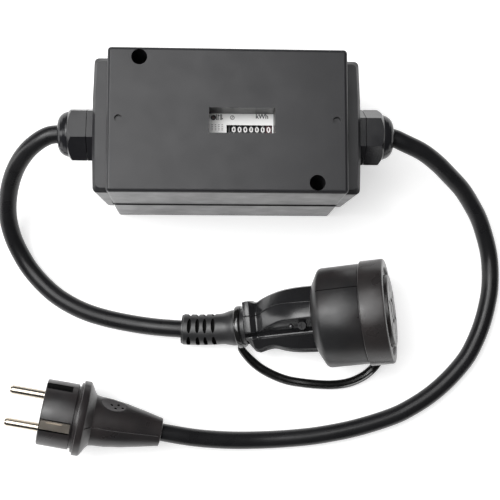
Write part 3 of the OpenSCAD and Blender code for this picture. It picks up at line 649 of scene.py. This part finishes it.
# ------------------------------------------------------------------ strap
STRAP_ROUTE = [
    (9.6, -114.6, 9.6), (13.5, -119.8, 5.4), (20, -125.5, 2.7), (27.5, -129.8, 2.3),
    (36, -133, 2.3), (45, -134.6, 2.3), (54, -135.5, 2.3), (62.5, -135.7, 2.3),
    (71, -134.6, 2.6), (78.5, -131.6, 3.6), (84, -127.5, 5.4), (87.5, -122.8, 8),
    (89.2, -118.6, 10.1)]
strap_line = smooth_line([tuple(COUPLING.at(-3.9, -9.4, -7.0) * 1000)] + STRAP_ROUTE
                         + [tuple(turned_about_axis(LUG_AT, 0, -30.6) * 1000)], 8)


def strap_section(share):
    """The strap's ribbed section at a share of its length; it widens from the ring."""
    wide = 1.75 + 0.75 * min(1.0, share / 0.18)
    tall = 1.15
    low = tall - 0.6
    return [(wide, -tall * 0.5), (wide, low), (wide * 0.86, tall * 0.9), (wide * 0.62, tall),
            (wide * 0.44, low), (wide * 0.24, tall), (-wide * 0.24, tall), (-wide * 0.44, low),
            (-wide * 0.62, tall), (-wide * 0.86, tall * 0.9), (-wide, low), (-wide, -tall * 0.5),
            (-wide * 0.8, -tall * 0.95), (wide * 0.8, -tall * 0.95)]


strap = tube("cap_tether", strap_line, strap_section)
paint(strap, "strap")
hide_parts("cap_strap")
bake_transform(strap)

# ------------------------------------------------------------------ plug
PLUG_OUTLINE = [
    (0.0, 0), (0.0, 17.0), (0.25, 17.55), (0.7, 17.8), (17.0, 17.8), (17.3, 17.5), (17.3, 16.9),
    (18.3, 16.9), (18.5, 18.6), (19.0, 18.9), (19.6, 19.0), (19.7, 20.0), (20.0, 20.3),
    (23.1, 20.3), (23.5, 20.0), (24.0, 19.4), (26.2, 15.7), (27.6, 13.9), (30.0, 13.5),
    (36.0, 13.2), (45.0, 11.9), (55.0, 9.9), (63.8, 8.0), (65.0, 7.8), (PLUG_LENGTH, 7.3),
    (PLUG_LENGTH, 0)]
REST_AT, REST_TURN, REST_R, REST_FLOOR = 39.0, 76, 18.0, 11.3  # the dished finger rests
REST_PITS = ((-2.8, 4), (-0.6, -7), (0.8, 9), (3.2, -2))  # mm along the plug, degrees round it
PIT_R, PIT_SPAN = 0.75, 3.4  # the same size along the plug in mm, and round it in degrees
BEAD_TURNS, BEAD_R = (7, 187), 0.4  # the raised parting lines


def around(place, s, r, angle):
    """A point at a distance from the axis, at an angle from the top towards +y."""
    a = math.radians(angle)
    return place.at(s, r * math.sin(a), r * math.cos(a))


plug = lathe("plug_moulding", PLUG, PLUG_OUTLINE, 128)
paint(plug, "plug")
clip_ways, guides, rests, pin_ways = [], [], [], []
for side in (-1, 1):
    low, high = sorted((side * 15.0, side * 19.5))
    clip_ways.append(block(f"clip_way_{side + 1}", PLUG, (-1, -3.4, low), (16.4, 3.4, high)))
    low, high = sorted((side * 15.4, side * 19.5))
    guides.append(block(f"guide_{side + 1}", PLUG, (-1, low, 1.8), (14.2, high, 6.8)))
    turned = REST_TURN if side > 0 else REST_TURN + 180
    ball = [(-REST_R * math.cos(b), REST_R * math.sin(b))
            for b in [math.pi * k / 40 for k in range(41)]]
    centre = around(PLUG, REST_AT, REST_FLOOR + REST_R, turned) * 1000
    rests.append(lathe(f"finger_{side + 1}", Place(centre), ball, 96))
    for s, off in REST_PITS:
        rings = [[around(PLUG, REST_AT + s + PIT_R * math.cos(b), r,
                         turned + off + PIT_SPAN * math.sin(b))
                  for b in [2 * math.pi * k / 16 for k in range(16)]]
                 for r in (REST_FLOOR - 0.7, REST_FLOOR + 4)]
        guides.append(loft(f"pit_{side + 1}_{len(guides)}", rings))
    pin_ways.append(lathe(f"pin_way_{side + 1}", PLUG, [(-1, 0), (-1, 2.15), (9, 2.15), (9, 0)],
                          32, y=side * 9.5))
finger_rests = join("finger_rests", rests)
painted_shade_cuts = join("painted_shade_cuts", clip_ways + guides + pin_ways)
paint(finger_rests, "finger")
# the earth-clip ways, guide grooves, finger-rest pits and pin holes get the painted shade on their
# cut faces
paint(painted_shade_cuts, "recess")
cut(plug, [finger_rests, painted_shade_cuts])
cone = [(s, r) for s, r in PLUG_OUTLINE if 23.5 < s < 64]
beads = []
for turned in BEAD_TURNS:
    bead_line = [around(PLUG, s, r + 0.02, turned) * 1000 for s, r in cone]
    beads.append(tube(f"bead_{turned}", smooth_line(bead_line, 4), lambda share: circle(BEAD_R, 8)))
    paint(beads[-1], "plug")
plug_all = join("plug_body_moulded", [plug] + beads)
place_piece(plug_all, None, "housing", "plug_black", "plug_body")

# ------------------------------------------------------------------ register and face plate
DRUM_X0, DRUM_PITCH, DRUM_R = 3.4, 3.03, 5.2
DRUM_Y, DRUM_Z = -2.5, 60.0
FACE_Z = 66.4
PRINT_THICK, PRINT_LIFT = 0.06, 0.02  # how thick print is, and its middle above the surface


def flat_text(name, body_text, size, bold=0.0):
    """Text as a flat mesh centred on the origin; size in millimetres."""
    curve = bpy.data.curves.new(name, "FONT")
    curve.body = body_text
    curve.size = size * 0.001
    curve.offset = bold * 0.001
    curve.align_x = "CENTER"
    curve.align_y = "CENTER"
    curve.resolution_u = 3
    text = bpy.data.objects.new(name, curve)
    scene.collection.objects.link(text)
    graph = bpy.context.evaluated_depsgraph_get()
    graph.update()
    data = bpy.data.meshes.new_from_object(text.evaluated_get(graph))
    bpy.data.objects.remove(text)
    made = bpy.data.objects.new(name, data)
    scene.collection.objects.link(made)
    return made


def thicken(piece, depth):
    """Gives a flat mesh a thickness in millimetres, half on each side."""
    modifier = piece.modifiers.new("solid", "SOLIDIFY")
    modifier.thickness = depth * 0.001
    modifier.offset = 0
    return bake(piece)


DIGIT_TALL = 3.0
FONT_PER_TALL = 1.38  # font size for one unit of digit height
FIRST_DIGIT, DIGIT_STEP = 6, 36  # degrees round the drum
for number in range(1, 8):
    x0 = DRUM_X0 + (number - 1) * DRUM_PITCH
    digits = []
    for value in range(10):
        piece = flat_text(f"digit_{number}_{value}", str(value), DIGIT_TALL * FONT_PER_TALL, 0.11)
        thicken(piece, PRINT_THICK)
        for v in piece.data.vertices:
            x, y, z = (v.co * 1000)
            a = y / DRUM_R + math.radians(FIRST_DIGIT + DIGIT_STEP * value)
            r = DRUM_R + PRINT_LIFT + z
            v.co = mm(x0 + x, DRUM_Y + r * math.sin(a), DRUM_Z + r * math.cos(a))
        digits.append(piece)
    place_piece(join(f"drum_{number}_digits", digits), "ink", f"drum_{number}",
                "face_white")

unit = thicken(flat_text("unit_mark", "kWh", 3.3, 0.07), PRINT_THICK)
unit.location = mm(18.1, 4.9, FACE_Z + PRINT_LIFT)
bpy.context.view_layer.update()
place_piece(join("unit_print", [unit]), "dark_ink", "housing", "face_white")


def print_bars(name, look, marks):
    """Printed strokes on the face plate, each as x, y, width and height."""
    bars = []
    for x, y, wide, tall in marks:
        bars.append(block(f"{name}_{len(bars)}", HERE, (x, y - tall / 2, FACE_Z - 0.02),
                          (x + wide, y + tall / 2, FACE_Z + 0.05), 0.02, 1))
    return place_piece(join(name, bars), look, "housing", "face_white")


print_bars("plate_heading", "dark_ink", [
    (-5.9, 4.4, 0.45, 3.0), (-5.1, 4.4, 0.5, 3.0), (-3.9, 4.4, 0.4, 3.0), (-3.2, 4.4, 0.45, 3.0),
    (-4.7, 5.2, 0.5, 0.5), (-2.8, 3.6, 0.5, 0.5)])
columns = [(x, y, 0.9, 0.42) for x in (-8.3, -6.6, -4.8, -3.1) for y in (-2.4, -1.5, -0.6, 0.3)]
print_bars("plate_columns", "grey_ink", columns)
symbol = lathe("plate_symbol", Place((2.6, 4.2, FACE_Z), 0, -90, 0), [
    (0.0, 0.75), (0.05, 0.75), (0.05, 1.25), (0.0, 1.25)], 40, closed=True)
stroke = block("symbol_stroke", Place((2.6, 4.2, FACE_Z), 0, 0, 60), (-0.8, -0.2, -0.02),
               (0.8, 0.2, 0.05))
place_piece(join("plate_mark", [symbol, stroke]), "grey_ink", "housing", "face_white")
bezel = lathe("lamp_bezel", Place((-7.3, 4.1, FACE_Z), 0, -90, 0), [
    (0.0, 0.62), (0.25, 0.6), (0.5, 0.8), (0.5, 1.15), (0.3, 1.38), (0.0, 1.38)], 40, closed=True)
place_piece(bezel, "drum", "housing", "drum_black")

# ------------------------------------------------------------------ floor and light
floor_data = bpy.data.meshes.new("floor")
FLOOR_HALF, FLOOR_Z = 6.0, -0.0002  # metres
floor_data.from_pydata(
    [(x, y, FLOOR_Z) for x, y in ((-FLOOR_HALF, -FLOOR_HALF), (FLOOR_HALF, -FLOOR_HALF),
                                  (FLOOR_HALF, FLOOR_HALF), (-FLOOR_HALF, FLOOR_HALF))],
    [], [(0, 1, 2, 3)])
floor = bpy.data.objects.new("floor", floor_data)
scene.collection.objects.link(floor)
floor_look = bpy.data.materials.new("floor_paper")
floor_look.use_nodes = True
paper = floor_look.node_tree.nodes["Principled BSDF"]
paper.inputs["Base Color"].default_value = (0.8, 0.8, 0.8, 1)
paper.inputs["Roughness"].default_value = 0.9
paper.inputs["Specular IOR Level"].default_value = 0.1
paper.inputs["Emission Color"].default_value = (1, 1, 1, 1)
paper.inputs["Emission Strength"].default_value = 0.55
floor.data.materials.append(floor_look)
floor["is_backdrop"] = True

world = bpy.data.worlds.new("studio")
world.use_nodes = True
world.node_tree.nodes["Background"].inputs["Color"].default_value = (1, 1, 1, 1)
world.node_tree.nodes["Background"].inputs["Strength"].default_value = 0.04
scene.world = world


def softbox(name, at, aim, wide, tall, power):
    """A rectangular area light in metres and watts, facing a point."""
    data = bpy.data.lights.new(name, "AREA")
    data.shape = "RECTANGLE"
    data.size = wide
    data.size_y = tall
    data.energy = power
    lamp = bpy.data.objects.new(name, data)
    scene.collection.objects.link(lamp)
    lamp.location = at
    lamp.rotation_mode = "QUATERNION"
    lamp.rotation_quaternion = (Vector(aim) - Vector(at)).to_track_quat("-Z", "Y")
    return lamp


softbox("key", (-0.48, 0.10, 1.5), (-0.1, -0.04, 0), 1.45, 1.3, 22.0)
softbox("accent", (-0.68, 0.18, 1.4), (0, -0.08, 0), 0.5, 0.6, 5.0)
softbox("left_strip", (-1.1, 0.0, 0.45), (0, -0.05, 0.03), 0.3, 1.0, 4.0)
softbox("back_left", (-0.35, 1.15, 1.5), (-0.08, 0, 0.05), 0.6, 0.5, 3.5)
scene.view_settings.view_transform = "Standard"

low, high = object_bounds()
